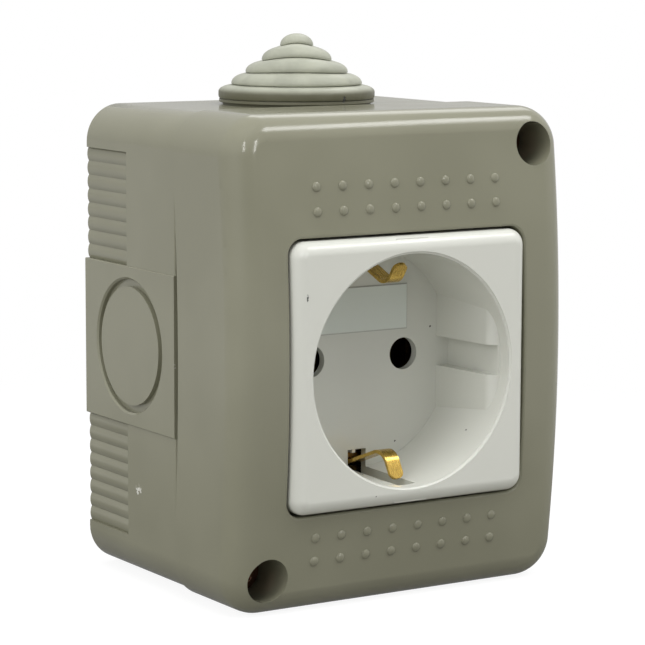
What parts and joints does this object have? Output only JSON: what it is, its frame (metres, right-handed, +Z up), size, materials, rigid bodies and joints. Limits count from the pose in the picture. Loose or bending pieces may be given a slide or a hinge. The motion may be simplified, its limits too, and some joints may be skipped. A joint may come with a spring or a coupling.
{
  "type": "surface mounted power socket",
  "caption": "Grey surface-mounted box with a white recessed earthed socket module, sprung earth clips and a stepped cable grommet on top.",
  "frame": {"origin": "centre of the wall face of the rear box, the face that lies against the wall", "axes": "+Y into the wall, -Y out to the user, +Z up when mounted, +X to the user's right"},
  "size_m": [0.0666, 0.0548, 0.0944],
  "materials": {
    "grey_plastic": "satin gloss",
    "grey_rubber": "soft satin",
    "white_plastic": "gloss",
    "base_plastic": "plain moulded",
    "clip_brass": "bright rolled",
    "contact_brass": "rolled sheet",
    "clamp_steel": "zinc plated",
    "screw_steel": "zinc plated"
  },
  "bodies": {
    "housing": {"back_box": "grey_plastic", "front_cover": "grey_plastic", "cable_grommet": "grey_rubber", "cover_screw_top": "screw_steel", "cover_screw_bottom": "screw_steel", "socket_front": "white_plastic", "socket_base": "base_plastic", "module_screw_right": "screw_steel", "module_screw_left": "screw_steel", "live_contact": "contact_brass", "neutral_contact": "contact_brass", "earth_strap": "contact_brass", "live_clamp": "clamp_steel", "neutral_clamp": "clamp_steel", "earth_clamp": "clamp_steel", "live_terminal_screw": "screw_steel", "neutral_terminal_screw": "screw_steel", "earth_terminal_screw": "screw_steel"},
    "top_clip": {"earth_clip_top": "clip_brass"},
    "bottom_clip": {"earth_clip_bottom": "clip_brass"}
  },
  "joints": [
    {"name": "top_clip_spring", "type": "hinge", "parent": "housing", "child": "top_clip", "pos_m": [0, -0.0342, 0.0168], "axis": [-1, 0, 0], "range_deg": [0, 5], "stiffness_Nm_per_rad": 0.3},
    {"name": "bottom_clip_spring", "type": "hinge", "parent": "housing", "child": "bottom_clip", "pos_m": [0, -0.0342, -0.0204], "axis": [1, 0, 0], "range_deg": [0, 5], "stiffness_Nm_per_rad": 0.3}
  ]
}
